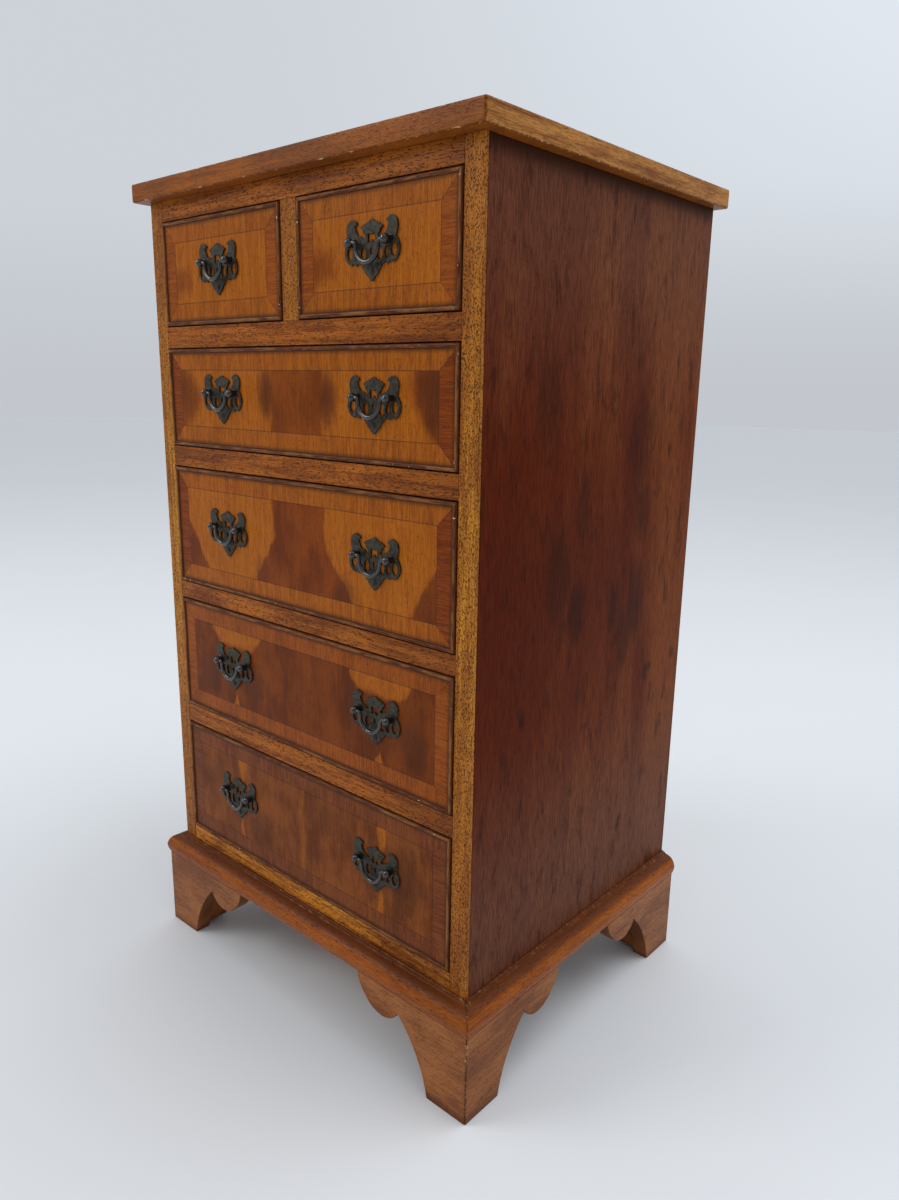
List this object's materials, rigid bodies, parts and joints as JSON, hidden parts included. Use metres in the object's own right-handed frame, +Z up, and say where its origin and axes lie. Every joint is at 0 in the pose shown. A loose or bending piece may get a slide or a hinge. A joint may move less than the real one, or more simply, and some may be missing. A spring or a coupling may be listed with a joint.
{
  "type": "miniature chest of drawers",
  "caption": "Miniature chest of drawers with small drawers above wide graduated ones, cock-beaded fronts, swinging bail handles, a base moulding and shaped bracket feet.",
  "frame": {"origin": "middle of the footprint, on the floor, under the centre of the bounding box", "axes": "+X to the right as seen from the front, +Y to the back, +Z up; the drawers open along -Y"},
  "size_m": [0.354, 0.285, 0.62],
  "materials": {
    "top_wood": "satin lacquer, orange-brown, open pores",
    "side_veneer": "satin lacquer, red-brown yew veneer",
    "frame_wood": "satin lacquer, golden brown",
    "rail_wood": "satin lacquer, golden brown, open pores",
    "moulding_wood": "satin lacquer, orange-brown",
    "foot_wood": "satin lacquer, tan brown",
    "drawer_veneer": "satin lacquer, figured yew veneer with mitred crossbands",
    "bead_wood": "satin, dark brown with worn crests",
    "drawer_lining": "bare pale wood",
    "inner_wood": "bare pale wood",
    "back_board": "stained board",
    "handle_metal": "antiqued dark bronze, worn highlights"
  },
  "bodies": {
    "carcass": {"top_board": "top_wood", "left_side": "side_veneer", "right_side": "side_veneer", "front_stiles": "frame_wood", "front_rails": "rail_wood", "centre_divider": "frame_wood", "drawer_runners": "inner_wood", "bottom_board": "inner_wood", "back_panel": "back_board", "base_moulding": "moulding_wood", "foot_front_left": "foot_wood", "foot_front_right": "foot_wood", "foot_back_left": "foot_wood", "foot_back_right": "foot_wood"},
    "top_left_drawer": {"top_left_drawer_front": "drawer_veneer", "top_left_drawer_cock_beads": "bead_wood", "top_left_drawer_box": "drawer_lining", "top_left_drawer_bottom": "drawer_lining", "top_left_drawer_handle_plates": "handle_metal", "top_left_drawer_handle_posts": "handle_metal"},
    "top_right_drawer": {"top_right_drawer_front": "drawer_veneer", "top_right_drawer_cock_beads": "bead_wood", "top_right_drawer_box": "drawer_lining", "top_right_drawer_bottom": "drawer_lining", "top_right_drawer_handle_plates": "handle_metal", "top_right_drawer_handle_posts": "handle_metal"},
    "second_drawer": {"second_drawer_front": "drawer_veneer", "second_drawer_cock_beads": "bead_wood", "second_drawer_box": "drawer_lining", "second_drawer_bottom": "drawer_lining", "second_drawer_handle_plates": "handle_metal", "second_drawer_handle_posts": "handle_metal"},
    "third_drawer": {"third_drawer_front": "drawer_veneer", "third_drawer_cock_beads": "bead_wood", "third_drawer_box": "drawer_lining", "third_drawer_bottom": "drawer_lining", "third_drawer_handle_plates": "handle_metal", "third_drawer_handle_posts": "handle_metal"},
    "fourth_drawer": {"fourth_drawer_front": "drawer_veneer", "fourth_drawer_cock_beads": "bead_wood", "fourth_drawer_box": "drawer_lining", "fourth_drawer_bottom": "drawer_lining", "fourth_drawer_handle_plates": "handle_metal", "fourth_drawer_handle_posts": "handle_metal"},
    "bottom_drawer": {"bottom_drawer_front": "drawer_veneer", "bottom_drawer_cock_beads": "bead_wood", "bottom_drawer_box": "drawer_lining", "bottom_drawer_bottom": "drawer_lining", "bottom_drawer_handle_plates": "handle_metal", "bottom_drawer_handle_posts": "handle_metal"},
    "top_left_drawer_bail": {"top_left_drawer_bail": "handle_metal"},
    "top_right_drawer_bail": {"top_right_drawer_bail": "handle_metal"},
    "second_drawer_left_bail": {"second_drawer_left_bail": "handle_metal"},
    "second_drawer_right_bail": {"second_drawer_right_bail": "handle_metal"},
    "third_drawer_left_bail": {"third_drawer_left_bail": "handle_metal"},
    "third_drawer_right_bail": {"third_drawer_right_bail": "handle_metal"},
    "fourth_drawer_left_bail": {"fourth_drawer_left_bail": "handle_metal"},
    "fourth_drawer_right_bail": {"fourth_drawer_right_bail": "handle_metal"},
    "bottom_drawer_left_bail": {"bottom_drawer_left_bail": "handle_metal"},
    "bottom_drawer_right_bail": {"bottom_drawer_right_bail": "handle_metal"}
  },
  "joints": [
    {"name": "top_left_drawer_slide", "type": "slide", "parent": "carcass", "child": "top_left_drawer", "axis": [0, -1, 0], "range_m": [0, 0.2]},
    {"name": "top_right_drawer_slide", "type": "slide", "parent": "carcass", "child": "top_right_drawer", "axis": [0, -1, 0], "range_m": [0, 0.2]},
    {"name": "second_drawer_slide", "type": "slide", "parent": "carcass", "child": "second_drawer", "axis": [0, -1, 0], "range_m": [0, 0.2]},
    {"name": "third_drawer_slide", "type": "slide", "parent": "carcass", "child": "third_drawer", "axis": [0, -1, 0], "range_m": [0, 0.2]},
    {"name": "fourth_drawer_slide", "type": "slide", "parent": "carcass", "child": "fourth_drawer", "axis": [0, -1, 0], "range_m": [0, 0.2]},
    {"name": "bottom_drawer_slide", "type": "slide", "parent": "carcass", "child": "bottom_drawer", "axis": [0, -1, 0], "range_m": [0, 0.2]},
    {"name": "top_left_drawer_bail_hinge", "type": "hinge", "parent": "top_left_drawer", "child": "top_left_drawer_bail", "pos_m": [-0.07888, -0.1347, 0.5595], "axis": [-1, 0, 0], "range_deg": [0, 180]},
    {"name": "top_right_drawer_bail_hinge", "type": "hinge", "parent": "top_right_drawer", "child": "top_right_drawer_bail", "pos_m": [0.07888, -0.1347, 0.5595], "axis": [-1, 0, 0], "range_deg": [0, 180]},
    {"name": "second_drawer_left_bail_hinge", "type": "hinge", "parent": "second_drawer", "child": "second_drawer_left_bail", "pos_m": [-0.08, -0.1347, 0.46925], "axis": [-1, 0, 0], "range_deg": [0, 180]},
    {"name": "second_drawer_right_bail_hinge", "type": "hinge", "parent": "second_drawer", "child": "second_drawer_right_bail", "pos_m": [0.08, -0.1347, 0.46925], "axis": [-1, 0, 0], "range_deg": [0, 180]},
    {"name": "third_drawer_left_bail_hinge", "type": "hinge", "parent": "third_drawer", "child": "third_drawer_left_bail", "pos_m": [-0.08, -0.1347, 0.36975], "axis": [-1, 0, 0], "range_deg": [0, 180]},
    {"name": "third_drawer_right_bail_hinge", "type": "hinge", "parent": "third_drawer", "child": "third_drawer_right_bail", "pos_m": [0.08, -0.1347, 0.36975], "axis": [-1, 0, 0], "range_deg": [0, 180]},
    {"name": "fourth_drawer_left_bail_hinge", "type": "hinge", "parent": "fourth_drawer", "child": "fourth_drawer_left_bail", "pos_m": [-0.08, -0.1347, 0.2625], "axis": [-1, 0, 0], "range_deg": [0, 180]},
    {"name": "fourth_drawer_right_bail_hinge", "type": "hinge", "parent": "fourth_drawer", "child": "fourth_drawer_right_bail", "pos_m": [0.08, -0.1347, 0.2625], "axis": [-1, 0, 0], "range_deg": [0, 180]},
    {"name": "bottom_drawer_left_bail_hinge", "type": "hinge", "parent": "bottom_drawer", "child": "bottom_drawer_left_bail", "pos_m": [-0.08, -0.1347, 0.15125], "axis": [-1, 0, 0], "range_deg": [0, 180]},
    {"name": "bottom_drawer_right_bail_hinge", "type": "hinge", "parent": "bottom_drawer", "child": "bottom_drawer_right_bail", "pos_m": [0.08, -0.1347, 0.15125], "axis": [-1, 0, 0], "range_deg": [0, 180]}
  ]
}
